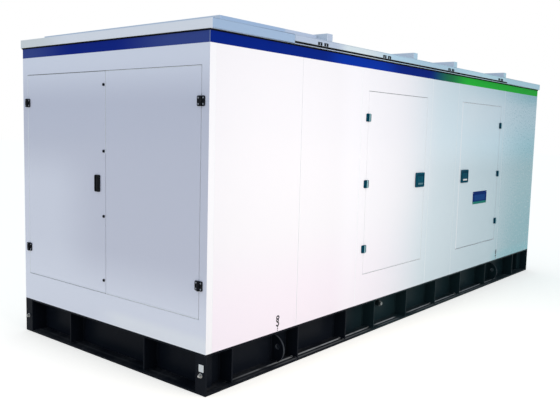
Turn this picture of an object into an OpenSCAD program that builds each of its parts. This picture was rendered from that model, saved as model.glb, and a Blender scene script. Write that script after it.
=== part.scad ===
// Canopied diesel generator on a channel skid, millimetres.
// +X runs along the length, the photographed end faces -X, the photographed long side faces -Y, +Z is up.
// The origin is the middle of the footprint, on the ground.

/* [Enclosure] */
// Length over the end walls
length = 5020; // [4600:10:5600]
// Width over the side walls
width = 1840; // [1600:10:2200]
// Thickness of the wall panels and door frames
panel_t = 45; // [40:1:60]
// Gap between neighbouring wall panels
seam = 3; // [2:0.5:5]

/* [Long side bays] */
// Parts of the blank wall that the first panel takes
first_parts = 161; // [120:1:200]
// Parts of the blank wall that the second panel takes
second_parts = 136; // [100:1:170]
// Parts of the blank wall that the panel between the doors takes
middle_parts = 98; // [70:1:120]
// Parts of the blank wall that the last panel takes
last_parts = 183; // [140:1:220]

/* [Doors] */
// Gap over and under a door leaf, and at the hinges of an end leaf
door_gap = 5; // [4.5:0.5:8]
// Gap at the upright edges of a long side leaf
side_gap = 3.5; // [3:0.5:6]
// Bay seam to the hinge side of a door opening
hinge_jamb_w = 90; // [85:1:110]
// Bay seam to the latch side of a door opening
latch_jamb_w = 85; // [70:1:110]
// Door opening on the long side, width
door_open_w = 890; // [840:1:920]
// Door opening on the long side, height
door_open_h = 1320; // [1200:10:1420]
// Skid top to the door opening on the long side
door_sill = 216; // [160:2:260]
// Door opening on the long side to the coloured rail
door_header = 154; // [120:2:200]
// Corner post width seen on the end wall
post_w = 58; // [54:1:70]
// Skid top to the door opening in the end wall
end_sill = 187; // [140:1:220]
// Door opening in the end wall to the coloured rail
end_header = 114; // [90:1:160]
// Gap between the two end leaves
meeting_gap = 4; // [4:0.5:10]
// Meeting line of the end leaves to the right of the middle
meeting_off = 20; // [0:1:60]
// Space for the seal behind a leaf
seal_space = 6; // [4:0.5:8]

/* [Hinges] */
// Hinge height
hinge_h = 56; // [50:1:70]
// Width of one hinge plate, from the pin outwards
hinge_w = 29; // [27:1:34]
// Corner radius of a hinge plate
hinge_r = 8; // [4:0.5:10]
// Hinge plate thickness
hinge_t = 6; // [5:0.5:7]
// Knuckle radius, also the distance of the pin from the wall face
knuckle_r = 8; // [7:0.5:9]
// Pin radius
pin_r = 4; // [3:0.5:5]
// Radial clearance of the pin
pin_clear = 0.08; // [0.04:0.01:0.1]

/* [Latches and locks] */
// Paddle latch width
latch_w = 140; // [126:2:160]
// Paddle latch height
latch_h = 116; // [100:2:130]
// Paddle latch centre to the free edge of the first leaf
latch_in_1 = 79; // [76:1:115]
// Paddle latch centre to the free edge of the second leaf
latch_in_2 = 106; // [85:1:115]
// Recessed handle width on the end door
handle_w = 52; // [46:1:60]
// Recessed handle height on the end door
handle_h = 106; // [90:1:120]
// Recessed handle centre to the free edge of its leaf
handle_in = 78; // [65:1:95]
// Quarter-turn lock radius
lock_r = 9; // [8:0.5:11]
// Quarter-turn lock centre to the free edge of its leaf
lock_in = 14; // [13:1:20]
// Outer locks to the ends of the leaf
lock_end = 80; // [60:1:120]

/* [Skid] */
// Skid height
base_h = 240; // [200:5:300]
// Depth of the open channels
channel_d = 120; // [110:1:140]
// Channel web thickness
web_t = 8; // [6:1:12]
// Channel flange thickness
flange_t = 12; // [10:1:16]
// Corner plate width seen on the end
corner_w = 80; // [70:1:90]
// Gusset thickness
gusset_t = 10; // [8:1:12]
// Distance of the two end gussets from the middle
end_gusset = 382; // [320:2:440]
// Cross members under the floor
cross_n = 6; // [4:1:8]
// Cross member width
cross_w = 80; // [60:1:100]
// Cross member height
cross_h = 140; // [100:1:160]
// Floor plate thickness
floor_t = 6; // [4:1:10]

/* [Lifting lugs] */
// Place of the first pair of lugs, as a part of the length
lug_at_1 = 0.1394; // [0.12:0.0001:0.15]
// Place of the second pair of lugs, as a part of the length
lug_at_2 = 0.832; // [0.81:0.001:0.86]
// Lug plate thickness
lug_t = 14; // [10:1:25]
// Face of the skid to the nose of the round lug
lug_nose_in = 8; // [4:1:16]
// Channel web to the centre of the round lug
lug_out = 11; // [6:1:16]
// Shackle hole radius
lug_hole_r = 18; // [15:0.5:20]
// Shackle hole centre to the nose of the lug
lug_hole_in = 49; // [45:1:56]
// Height of the shackle hole over the middle of the lug
lug_hole_up = 20; // [10:1:24]

/* [Roof] */
// Height of the coloured rail over the panels
rail_h = 70; // [50:1:100]
// Height of the roof fascia
fascia_h = 55; // [50:1:70]
// Overhang of the roof past the long sides
overhang = 20; // [18:1:30]
// Overhang of the roof past the ends
end_overhang = 4; // [2:1:12]
// Eave cover starts this far before the first seam
eave_before = 115; // [90:1:140]
// Eave cover ends this far before the last seam
eave_short = 27; // [0:1:60]
// Height of the slot under the eave cover
eave_slot = 12; // [8:1:16]
// How far the eave cover stands proud of the fascia
eave_proud = 3; // [2:0.5:6]
// Width of the joint ribs across the roof
rib_w = 60; // [50:1:80]
// Height of the joint ribs
rib_h = 46; // [38:1:56]
// Height of the raised cover over the first bay
raised_h = 38; // [30:1:45]
// Near end to the raised cover
raised_from = 130; // [80:2:180]
// Side wall to the raised cover
raised_in = 60; // [40:2:100]

/* [Hidden] */
$fn = 64;

panel_h = door_sill + door_open_h + door_header;
end_open_h = panel_h - end_sill - end_header;
wall_top = base_h + panel_h;
roof_z = wall_top + rail_h;
roof_top = roof_z + fascia_h;
leaf_t = panel_t - seal_space;
half_gap = door_gap / 2;
side_half = side_gap / 2;
stop_t = 12;
stop_w = 30;
edge_c = 2;

// The door bays keep their width and the blank panels share what is left of the length
door_bay = hinge_jamb_w + door_open_w + latch_jamb_w;
part_w = (length - 2 * door_bay) / (first_parts + second_parts + middle_parts + last_parts);

// Seams of the long side, measured from the near end
seam_1 = first_parts * part_w;
seam_2 = seam_1 + second_parts * part_w;
seam_3 = seam_2 + door_bay;
seam_4 = seam_3 + middle_parts * part_w;
seam_5 = seam_4 + door_bay;

// Door openings of the long side: the second is hung on its far edge
open_1 = seam_2 + hinge_jamb_w;
open_2 = seam_4 + latch_jamb_w;
open_z = base_h + door_sill;
leaf_w = door_open_w - 2 * side_gap;
leaf_h = door_open_h - 2 * door_gap;
leaf_z = open_z + door_gap;

// End openings, measured from the left corner as seen from outside
end_z = base_h + end_sill;
end_leaf_z = end_z + door_gap;
end_leaf_h = end_open_h - 2 * door_gap;
left_leaf_w = (width - meeting_gap) / 2 + meeting_off - post_w - door_gap;
right_leaf_w = (width - meeting_gap) / 2 - meeting_off - post_w - door_gap;
meeting = width / 2 + meeting_off;

// Hinge heights above the bottom of a leaf
side_hinges = [leaf_h * 0.14, leaf_h * 0.5, leaf_h * 0.86];
end_hinges = [end_leaf_h * 0.135, end_leaf_h * 0.865];

web_y = channel_d - web_t;
// The round lug stands on the bottom flange, which cuts off its lowest part
lug_r = web_y - lug_out - lug_nose_in;
lug_z = lug_r;
lug_1 = lug_at_1 * length;
lug_2 = lug_at_2 * length;
// Places along the long side, as parts of the length
gusset_at = [0.045, 0.1683, 0.2781, 0.3548, 0.4532, 0.5558, 0.6554, 0.77, 0.9163];
drain_s = 0.3936 * length;
drain_drop = 84;
corner_gap = 1;

// Far edges of the joint ribs, as parts of the bays under them
ribs = [seam_1 + 0.403 * (seam_2 - seam_1), seam_2 + 0.692 * door_bay,
    seam_3 + 0.773 * (seam_4 - seam_3), seam_4 + 0.937 * door_bay];
eave_from = seam_1 - eave_before;
eave_to = seam_5 - eave_short;
eave_lip = 4;
eave_depth = overhang + 5;

// A wall frame: x along the wall from its left end seen from outside, y into the wall, z up.
module on_front() {
    translate([-length / 2, -width / 2, 0]) children();
}

module on_back() {
    mirror([0, 1, 0]) on_front() children();
}

module on_near() {
    translate([-length / 2, width / 2, 0]) rotate([0, 0, -90]) children();
}

module on_far() {
    mirror([1, 0, 0]) on_near() children();
}

module both_sides() {
    on_front() children();
    on_back() children();
}

module both_ends() {
    on_near() children();
    on_far() children();
}

module block(x0, x1, y0, y1, z0, z1) {
    translate([x0, y0, z0]) cube([x1 - x0, y1 - y0, z1 - z0]);
}

// A leaf with its outer face at y = 0 and a small chamfer round that face.
module leaf(w, t, h) {
    c = edge_c;
    intersection() {
        linear_extrude(h)
            polygon([[c, 0], [w - c, 0], [w, c], [w, t], [0, t], [0, c]]);
        rotate([90, 0, 90]) linear_extrude(w)
            polygon([[0, c], [c, 0], [t, 0], [t, h], [c, h], [0, h - c]]);
    }
}

// Rectangle with rounded corners, centred.
module rounded(w, h, r) {
    square([w - 2 * r, h], center = true);
    square([w, h - 2 * r], center = true);
    for (sx = [-1, 1])
        for (sy = [-1, 1])
            translate([sx * (w / 2 - r), sy * (h / 2 - r)]) circle(r);
}

// Something drawn flat on a wall face and raised outwards by t.
module raised(t) {
    rotate([90, 0, 0]) linear_extrude(t) children();
}

module turned(dir) {
    if (dir > 0) children();
    else mirror([1, 0, 0]) children();
}

// Hinge plate from x0 outwards, its outer corners rounded.
module hinge_plate(x0) {
    raised(hinge_t) {
        translate([x0, 0]) square([hinge_w - hinge_r - x0, hinge_h]);
        translate([x0, hinge_r]) square([hinge_w - x0, hinge_h - 2 * hinge_r]);
        for (z = [hinge_r, hinge_h - hinge_r])
            translate([hinge_w - hinge_r, z]) circle(hinge_r);
    }
}

// Hinge half on the frame: plate, two outer knuckles and the pin. The pin is at x = 0.
module hinge_fixed() {
    k = hinge_h * 0.3;
    clear = knuckle_r + 1.5;
    turned(-1) hinge_plate(clear);
    for (z = [0, hinge_h - k]) {
        block(-clear - 1, 0, -hinge_t, 0, z, z + k);
        translate([0, -knuckle_r, z]) cylinder(r = knuckle_r, h = k);
    }
    translate([0, -knuckle_r, 0]) cylinder(r = pin_r, h = hinge_h);
}

// Hinge half on the leaf: plate and the middle knuckle, bored for the pin.
module hinge_moving() {
    k = hinge_h * 0.3 + 0.5;
    clear = knuckle_r + 1.5;
    difference() {
        union() {
            hinge_plate(clear);
            block(0, clear + 1, -hinge_t, 0, k, hinge_h - k);
            translate([0, -knuckle_r, k]) cylinder(r = knuckle_r, h = hinge_h - 2 * k);
        }
        translate([0, -knuckle_r, -1]) cylinder(r = pin_r + pin_clear, h = hinge_h + 2);
    }
}

// Closed hinge of a fixed door, in one piece.
module hinge_closed() {
    hinge_plate(0);
    turned(-1) hinge_plate(0);
    translate([0, -knuckle_r, 0]) cylinder(r = knuckle_r, h = hinge_h);
}

// Flush paddle latch: a rounded bezel with a shallow pocket and the paddle in it.
module latch() {
    difference() {
        raised(10) rounded(latch_w, latch_h, 8);
        translate([0, -6, 0]) raised(10) rounded(latch_w - 24, latch_h - 24, 5);
    }
    translate([0, -4, -6]) raised(5) rounded(latch_w - 40, latch_h - 48, 5);
}

// Recessed pull handle of the end door.
module handle() {
    difference() {
        raised(8) rounded(handle_w, handle_h, 9);
        translate([0, -4, 0]) raised(10) rounded(handle_w - 16, handle_h - 16, 5);
    }
    translate([0, -3, 0]) raised(4) rounded(handle_w - 32, handle_h - 30, 5);
}

module lock() {
    difference() {
        raised(6) circle(lock_r);
        translate([0, -4, 0]) raised(4) square([3, lock_r * 1.3], center = true);
    }
}

module side_leaf() {
    leaf(leaf_w, leaf_t, leaf_h);
}

// Moving hinge halves and latch of a long side leaf, whose pin is at x = 0.
module side_fittings(latch_in) {
    for (z = side_hinges)
        translate([0, 0, leaf_z + z - hinge_h / 2]) hinge_moving();
    translate([side_half + leaf_w - latch_in, 0, leaf_z + leaf_h / 2]) latch();
}

module side_fixed_halves() {
    for (z = side_hinges)
        translate([0, 0, leaf_z + z - hinge_h / 2]) hinge_fixed();
}

module side_closed_fittings(latch_in) {
    for (z = side_hinges)
        translate([0, 0, leaf_z + z - hinge_h / 2]) hinge_closed();
    translate([side_half + leaf_w - latch_in, 0, leaf_z + leaf_h / 2]) latch();
}

module end_locks() {
    lock_gap = (end_leaf_h - 2 * lock_end) / 3;
    for (i = [0 : 3])
        translate([half_gap + left_leaf_w - lock_in, 0, end_leaf_z + lock_end + i * lock_gap]) lock();
    translate([half_gap + left_leaf_w - handle_in, 0, end_leaf_z + end_leaf_h / 2]) handle();
}

// Places a child whose pin is at x = 0 on the first or second long side door.
module at_door_1() {
    translate([open_1 + side_half, 0, 0]) children();
}

module at_door_2() {
    translate([open_2 + door_open_w - side_half, 0, 0]) turned(-1) children();
}

module at_left_leaf() {
    translate([post_w + half_gap, 0, 0]) children();
}

module at_right_leaf() {
    translate([width - post_w - half_gap, 0, 0]) turned(-1) children();
}

module panel(s0, s1) {
    block(s0, s1, 0, panel_t, base_h, wall_top);
}

module panels_1_to_4() {
    panel(panel_t + corner_gap, seam_1 - seam / 2);
    panel(seam_1 + seam / 2, seam_2 - seam / 2);
    panel(seam_3 + seam / 2, seam_4 - seam / 2);
    panel(seam_5 + seam / 2, length - panel_t - corner_gap);
}

module side_jambs() {
    panel(seam_2 + seam / 2, open_1);
    panel(open_1 + door_open_w, seam_3 - seam / 2);
    panel(seam_4 + seam / 2, open_2);
    panel(open_2 + door_open_w, seam_5 - seam / 2);
}

module side_rails() {
    for (s = [open_1, open_2]) {
        block(s, s + door_open_w, 0, panel_t, base_h, open_z);
        block(s, s + door_open_w, 0, panel_t, open_z + door_open_h, wall_top);
    }
}

module end_posts() {
    panel(0, post_w);
    panel(width - post_w, width);
}

module end_rails() {
    block(post_w, width - post_w, 0, panel_t, base_h, end_z);
    block(post_w, width - post_w, 0, panel_t, end_z + end_open_h, wall_top);
}

// Skid
module base_side_rails() {
    color([0.06, 0.06, 0.07]) both_sides() {
        s0 = channel_d;
        s1 = length - channel_d;
        union() {
            block(s0, s1, 0, channel_d, 0, flange_t);
            block(s0, s1, 0, channel_d, base_h - flange_t, base_h);
            block(s0, s1, web_y, channel_d, 0, base_h);
        }
    }
}

module base_end_rails() {
    color([0.06, 0.06, 0.07]) both_ends() union() {
        block(corner_w, width - corner_w, 0, channel_d, 0, flange_t);
        block(corner_w, width - corner_w, 0, channel_d, base_h - flange_t, base_h);
        block(corner_w, width - corner_w, web_y, channel_d, 0, base_h);
    }
}

module corner_plate() {
    union() {
        block(0, corner_w, 0, flange_t, 0, base_h);
        block(0, corner_w, 0, channel_d, 0, flange_t);
        block(0, corner_w, 0, channel_d, base_h - flange_t, base_h);
        block(corner_w - gusset_t, corner_w, 0, channel_d, 0, base_h);
    }
}

module base_corners() {
    color([0.06, 0.06, 0.07]) both_ends() {
        corner_plate();
        translate([width, 0, 0]) mirror([1, 0, 0]) corner_plate();
    }
}

module base_gussets() {
    color([0.06, 0.06, 0.07]) {
        both_sides() for (part = gusset_at)
            block(part * length - gusset_t / 2, part * length + gusset_t / 2, 10, web_y, flange_t,
                base_h - flange_t);
        both_ends() for (d = [-1, 1])
            block(width / 2 + d * end_gusset - gusset_t / 2, width / 2 + d * end_gusset + gusset_t / 2,
                10, web_y, flange_t, base_h - flange_t);
    }
}

module base_cross_members() {
    color([0.06, 0.06, 0.07]) for (i = [0 : cross_n - 1])
        translate([(i - (cross_n - 1) / 2) * length / (cross_n + 0.4), 0, base_h - cross_h / 2])
            cube([cross_w, width - 2 * channel_d, cross_h], center = true);
}

module base_floor() {
    color([0.2, 0.2, 0.2]) translate([0, 0, base_h + floor_t / 2])
        cube([length - 2 * panel_t, width - 2 * panel_t, floor_t], center = true);
}

module lifting_lugs() {
    color([0.06, 0.06, 0.07]) both_sides() for (s = [lug_1, lug_2])
        translate([s - lug_t / 2, 0, 0]) rotate([90, 0, 90]) linear_extrude(lug_t) difference() {
            intersection() {
                translate([web_y - lug_out, lug_z]) circle(lug_r);
                translate([0, flange_t]) square([web_y, base_h - 2 * flange_t]);
            }
            translate([lug_nose_in + lug_hole_in, lug_z + lug_hole_up]) circle(lug_hole_r);
        }
}

module drain_outlet() {
    color([0.3, 0.3, 0.3]) on_front() translate([drain_s, web_y, base_h - drain_drop]) {
        rotate([90, 0, 0]) cylinder(r = 22, h = 34);
        rotate([90, 0, 0]) cylinder(r = 15, h = 48, $fn = 6);
    }
}

// Photographed long side
module front_panel_1() {
    color([0.9, 0.9, 0.92]) on_front() panel(panel_t + corner_gap, seam_1 - seam / 2);
}

module front_panel_2() {
    color([0.9, 0.9, 0.92]) on_front() panel(seam_1 + seam / 2, seam_2 - seam / 2);
}

module front_panel_3() {
    color([0.9, 0.9, 0.92]) on_front() panel(seam_3 + seam / 2, seam_4 - seam / 2);
}

module front_panel_4() {
    color([0.9, 0.9, 0.92]) on_front() panel(seam_5 + seam / 2, length - panel_t - corner_gap);
}

module front_jambs() {
    color([0.9, 0.9, 0.92]) on_front() side_jambs();
}

module front_rails() {
    color([0.9, 0.9, 0.92]) on_front() side_rails();
}

module front_door_1() {
    color([0.88, 0.88, 0.9]) on_front() at_door_1() translate([side_half, 0, leaf_z]) side_leaf();
}

module front_door_1_fittings() {
    color([0.05, 0.05, 0.05]) on_front() at_door_1() side_fittings(latch_in_1);
}

module front_door_2() {
    color([0.88, 0.88, 0.9]) on_front() at_door_2() translate([side_half, 0, leaf_z]) side_leaf();
}

module front_door_2_fittings() {
    color([0.05, 0.05, 0.05]) on_front() at_door_2() side_fittings(latch_in_2);
}

// Hidden long side
module back_panels() {
    color([0.9, 0.9, 0.92]) on_back() panels_1_to_4();
}

module back_jambs() {
    color([0.9, 0.9, 0.92]) on_back() side_jambs();
}

module back_rails() {
    color([0.9, 0.9, 0.92]) on_back() side_rails();
}

module back_doors() {
    color([0.88, 0.88, 0.9]) on_back() {
        at_door_1() translate([side_half, 0, leaf_z]) side_leaf();
        at_door_2() translate([side_half, 0, leaf_z]) side_leaf();
    }
}

module back_door_fittings() {
    color([0.05, 0.05, 0.05]) on_back() {
        at_door_1() side_closed_fittings(latch_in_1);
        at_door_2() side_closed_fittings(latch_in_2);
    }
}

// Photographed end
module near_posts() {
    color([0.9, 0.9, 0.92]) on_near() end_posts();
}

module near_rails() {
    color([0.9, 0.9, 0.92]) on_near() end_rails();
}

module end_leaf(w) {
    translate([half_gap, 0, end_leaf_z]) leaf(w, leaf_t, end_leaf_h);
}

module end_door_left() {
    color([0.88, 0.88, 0.9]) on_near() at_left_leaf() end_leaf(left_leaf_w);
}

module end_door_left_fittings() {
    color([0.05, 0.05, 0.05]) on_near() at_left_leaf() {
        for (z = end_hinges)
            translate([0, 0, end_leaf_z + z - hinge_h / 2]) hinge_moving();
        end_locks();
    }
}

module end_door_right() {
    color([0.88, 0.88, 0.9]) on_near() at_right_leaf() end_leaf(right_leaf_w);
}

module end_door_right_fittings() {
    color([0.05, 0.05, 0.05]) on_near() at_right_leaf() for (z = end_hinges)
        translate([0, 0, end_leaf_z + z - hinge_h / 2]) hinge_moving();
}

// Hidden end
module far_posts() {
    color([0.9, 0.9, 0.92]) on_far() end_posts();
}

module far_rails() {
    color([0.9, 0.9, 0.92]) on_far() end_rails();
}

module far_doors() {
    color([0.88, 0.88, 0.9]) on_far() {
        at_left_leaf() end_leaf(left_leaf_w);
        at_right_leaf() end_leaf(right_leaf_w);
    }
}

module far_door_fittings() {
    color([0.05, 0.05, 0.05]) on_far() {
        for (z = end_hinges) {
            at_left_leaf() translate([0, 0, end_leaf_z + z - hinge_h / 2]) hinge_closed();
            at_right_leaf() translate([0, 0, end_leaf_z + z - hinge_h / 2]) hinge_closed();
        }
        at_left_leaf() end_locks();
    }
}

module hinge_fixed_halves() {
    color([0.05, 0.05, 0.05]) {
        on_front() {
            at_door_1() side_fixed_halves();
            at_door_2() side_fixed_halves();
        }
        on_near() for (z = end_hinges) {
            at_left_leaf() translate([0, 0, end_leaf_z + z - hinge_h / 2]) hinge_fixed();
            at_right_leaf() translate([0, 0, end_leaf_z + z - hinge_h / 2]) hinge_fixed();
        }
    }
}

// Frame behind the seams and the leaves
module wall_posts() {
    color([0.6, 0.6, 0.62]) both_sides() for (s = [seam_1, seam_2, seam_3, seam_4, seam_5])
        block(s - 25, s + 25, panel_t, panel_t + stop_t, base_h + floor_t, roof_z);
}

module side_stops(s0, s1, z0, z1) {
    for (s = [s0, s1])
        block(s - stop_w, s + stop_w, panel_t, panel_t + stop_t, z0 - stop_w, z1 + stop_w);
    for (z = [z0, z1])
        block(s0 + stop_w + 2, s1 - stop_w - 2, panel_t, panel_t + stop_t, z - stop_w, z + stop_w);
}

module door_stops() {
    color([0.6, 0.6, 0.62]) {
        both_sides() for (s = [open_1, open_2])
            side_stops(s, s + door_open_w, open_z, open_z + door_open_h);
        both_ends() {
            block(panel_t, post_w + stop_w, panel_t, panel_t + stop_t, base_h + floor_t, roof_z);
            block(width - post_w - stop_w, width - panel_t, panel_t, panel_t + stop_t,
                base_h + floor_t, roof_z);
            for (z = [end_z, end_z + end_open_h]) {
                block(post_w + stop_w + 2, meeting - stop_w - 2, panel_t, panel_t + stop_t, z - stop_w,
                    z + stop_w);
                block(meeting + stop_w + 2, width - post_w - stop_w - 2, panel_t, panel_t + stop_t,
                    z - stop_w, z + stop_w);
            }
        }
    }
}

module centre_posts() {
    color([0.6, 0.6, 0.62]) both_ends()
        block(meeting - stop_w, meeting + stop_w, panel_t, panel_t + 40, base_h + floor_t, roof_z);
}

// Coloured rail
module top_rail() {
    block(0, length, 0, panel_t, wall_top, roof_z);
}

module top_rail_front() {
    color([0.05, 0.15, 0.6]) on_front() top_rail();
}

module top_rail_back() {
    color([0.05, 0.15, 0.6]) on_back() top_rail();
}

module top_rail_ends() {
    color([0.05, 0.15, 0.6]) both_ends() block(panel_t, width - panel_t, 0, panel_t, wall_top, roof_z);
}

// Roof
module roof_shell() {
    color([0.7, 0.75, 0.85]) difference() {
        translate([0, 0, roof_z + fascia_h / 2])
            cube([length + 2 * end_overhang, width + 2 * overhang, fascia_h], center = true);
        both_sides() block(eave_from, eave_to, -overhang - 1, eave_depth - overhang,
            roof_z + eave_lip, roof_top - eave_lip);
    }
}

module roof_ribs() {
    color([0.7, 0.75, 0.85]) on_front() for (s = ribs)
        block(s - rib_w, s, -overhang, width + overhang, roof_top, roof_top + rib_h);
}

module roof_raised_cover() {
    color([0.75, 0.8, 0.88]) on_front()
        block(raised_from, ribs[0] - rib_w - seam, raised_in, width - raised_in, roof_top,
            roof_top + raised_h);
}

module eave_covers() {
    color([0.7, 0.75, 0.85]) both_sides()
        block(eave_from + 1, eave_to - 1, -overhang - eave_proud, eave_depth - overhang,
            roof_z + eave_lip + eave_slot, roof_top - eave_lip);
}

base_side_rails();
base_end_rails();
base_corners();
base_gussets();
base_cross_members();
base_floor();
lifting_lugs();
drain_outlet();
front_panel_1();
front_panel_2();
front_panel_3();
front_panel_4();
front_jambs();
front_rails();
front_door_1();
front_door_1_fittings();
front_door_2();
front_door_2_fittings();
back_panels();
back_jambs();
back_rails();
back_doors();
back_door_fittings();
near_posts();
near_rails();
end_door_left();
end_door_left_fittings();
end_door_right();
end_door_right_fittings();
far_posts();
far_rails();
far_doors();
far_door_fittings();
hinge_fixed_halves();
wall_posts();
door_stops();
centre_posts();
top_rail_front();
top_rail_back();
top_rail_ends();
roof_shell();
roof_ribs();
roof_raised_cover();
eave_covers();
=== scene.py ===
"""Finishes, small pieces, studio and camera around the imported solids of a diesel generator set.

Lengths are metres in the frame; s is measured along the length from the photographed end."""
import math

import bpy
import numpy as np
from mathutils import Matrix, Vector


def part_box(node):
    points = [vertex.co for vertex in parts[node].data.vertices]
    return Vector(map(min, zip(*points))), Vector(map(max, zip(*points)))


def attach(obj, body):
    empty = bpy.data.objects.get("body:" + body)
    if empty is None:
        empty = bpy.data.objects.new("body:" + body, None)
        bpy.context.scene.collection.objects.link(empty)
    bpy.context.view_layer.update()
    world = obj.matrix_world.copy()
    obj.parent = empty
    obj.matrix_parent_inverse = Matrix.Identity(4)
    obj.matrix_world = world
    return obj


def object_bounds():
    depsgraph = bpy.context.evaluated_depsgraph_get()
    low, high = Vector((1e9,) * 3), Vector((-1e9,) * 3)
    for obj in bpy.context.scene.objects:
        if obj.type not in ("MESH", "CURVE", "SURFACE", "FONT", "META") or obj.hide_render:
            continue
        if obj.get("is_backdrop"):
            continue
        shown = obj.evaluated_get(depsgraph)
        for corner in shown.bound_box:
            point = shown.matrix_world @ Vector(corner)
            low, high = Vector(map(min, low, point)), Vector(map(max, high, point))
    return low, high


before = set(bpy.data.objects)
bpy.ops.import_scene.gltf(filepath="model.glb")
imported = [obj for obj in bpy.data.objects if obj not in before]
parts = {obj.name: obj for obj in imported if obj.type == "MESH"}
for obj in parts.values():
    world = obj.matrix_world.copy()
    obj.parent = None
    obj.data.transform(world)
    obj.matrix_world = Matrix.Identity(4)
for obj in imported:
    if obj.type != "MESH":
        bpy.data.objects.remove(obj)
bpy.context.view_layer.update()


# Skid: black painted steel channels, open to the outside, welded into a ring with gussets, corner
# plates and half-round lifting lugs. The paint is satin, dusty on its ledges and rubbed at the edges, with
# a painted cool light cast along the front side and painted highlights on the rounded rims of the lugs.
def add_node(tree, kind, inputs=None, **settings):
    """One shader node; an input is a value or the output socket that feeds it."""
    made = tree.nodes.new(kind)
    for key, value in settings.items():
        setattr(made, key, value)
    for key, value in (inputs or {}).items():
        if isinstance(value, bpy.types.NodeSocket):
            tree.links.new(value, made.inputs[key])
        else:
            made.inputs[key].default_value = value
    return made


def new_group(name, inputs, outputs):
    """An empty shader group with float inputs {name: default} and float outputs [name]."""
    tree = bpy.data.node_groups.new(name, "ShaderNodeTree")
    for key, value in inputs.items():
        socket = tree.interface.new_socket(key, in_out="INPUT", socket_type="NodeSocketFloat")
        socket.default_value = value
    for key in outputs:
        tree.interface.new_socket(key, in_out="OUTPUT", socket_type="NodeSocketFloat")
    return tree, tree.nodes.new("NodeGroupInput").outputs, tree.nodes.new("NodeGroupOutput")


def new_material(name):
    """A material with only a Principled shader wired to its output."""
    material = bpy.data.materials.new(name)
    material.use_nodes = True
    tree = material.node_tree
    return material, tree, tree.nodes["Principled BSDF"]


def place_group(tree, group, **values):
    """The outputs of a group placed in a tree, with some of its inputs set."""
    placed = tree.nodes.new("ShaderNodeGroup")
    placed.node_tree = group
    for key, value in values.items():
        placed.inputs[key.replace("_", " ")].default_value = value
    return placed.outputs


def math_node(tree, operation, first, second=0.0, clamp=False):
    """The result of one arithmetic node."""
    made = add_node(tree, "ShaderNodeMath", {0: first, 1: second}, operation=operation, use_clamp=clamp)
    return made.outputs[0]


def times(tree, first, second):
    return math_node(tree, "MULTIPLY", first, second)


def less(tree, first, second):
    return math_node(tree, "SUBTRACT", first, second)


def absolute(tree, value):
    return math_node(tree, "ABSOLUTE", value)


MIX_FIRST, MIX_SECOND, MIX_RESULT = 6, 7, 2


def mixed(tree, factor, first, second):
    """Colour between first and second by factor; each is (r, g, b) or the socket that gives it."""
    first, second = (c if isinstance(c, bpy.types.NodeSocket) else (*c, 1) for c in (first, second))
    inputs = {"Factor": factor, MIX_FIRST: first, MIX_SECOND: second}
    return add_node(tree, "ShaderNodeMix", inputs, data_type="RGBA").outputs[MIX_RESULT]


def between(tree, value, low, high):
    """0 at low, 1 at high, smooth between; low may be the larger of the two."""
    made = add_node(tree, "ShaderNodeMapRange", {"Value": value, "From Min": low, "From Max": high},
                    interpolation_type="SMOOTHSTEP")
    return made.outputs[0]


def window(tree, value, start, full, fade, stop):
    """1 from full to fade, smooth down to 0 at start and at stop."""
    return times(tree, between(tree, value, start, full), between(tree, value, stop, fade))


def own_point(tree):
    """The place of a point in its own piece, the same in every pose."""
    return add_node(tree, "ShaderNodeTexCoord").outputs["Object"]


def own_place(tree):
    """X, Y and Z of a point in its own piece."""
    return add_node(tree, "ShaderNodeSeparateXYZ", {0: own_point(tree)}).outputs


def own_facing(tree):
    """X, Y and Z of the surface normal in its own piece, the same in every pose."""
    normal = add_node(tree, "ShaderNodeTexCoord").outputs["Normal"]
    return add_node(tree, "ShaderNodeSeparateXYZ", {0: normal}).outputs


def noise(tree, scale, detail):
    """Cloudy noise around 0.5 that is fixed to its own piece."""
    inputs = {"Vector": own_point(tree), "Scale": scale, "Detail": detail}
    return add_node(tree, "ShaderNodeTexNoise", inputs).outputs["Fac"]


def bumped(tree, shader, height, strength, distance):
    """Bends the shader's normal by a height."""
    made = add_node(tree, "ShaderNodeBump", {"Strength": strength, "Distance": distance, "Height": height})
    tree.links.new(made.outputs["Normal"], shader.inputs["Normal"])


sprayed, inner, outer = new_group(
    "sprayed_coat", {"Peel Scale": 320.0, "Cloud Scale": 2.2, "Roughness": 0.3, "Roughness Spread": 0.08},
    ["Cloud", "Roughness", "Peel"])
cloud = noise(sprayed, inner["Cloud Scale"], 5.0)
spread = times(sprayed, less(sprayed, cloud, 0.5), inner["Roughness Spread"])
sprayed.links.new(cloud, outer.inputs["Cloud"])
sprayed.links.new(math_node(sprayed, "ADD", spread, inner["Roughness"]), outer.inputs["Roughness"])
sprayed.links.new(noise(sprayed, inner["Peel Scale"], 2.0), outer.inputs["Peel"])

dusted, inner, outer = new_group(
    "settled_dust", {"Reach": 0.25, "Grain Scale": 60.0, "Ledges": 1.0}, ["Dust"])
height = math_node(dusted, "DIVIDE", own_place(dusted)["Z"], inner["Reach"])
low = math_node(dusted, "SUBTRACT", 1.0, height, clamp=True)
ledge = times(dusted, between(dusted, own_facing(dusted)["Z"], 0.5, 0.9), inner["Ledges"])
mask = math_node(dusted, "MAXIMUM", math_node(dusted, "POWER", low, 2.0), ledge)
mask = times(dusted, mask, between(dusted, noise(dusted, 5.0, 3.0), 0.3, 0.7))
mask = times(dusted, mask, between(dusted, noise(dusted, inner["Grain Scale"], 6.0), 0.25, 0.75))
dusted.links.new(mask, outer.inputs["Dust"])

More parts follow.
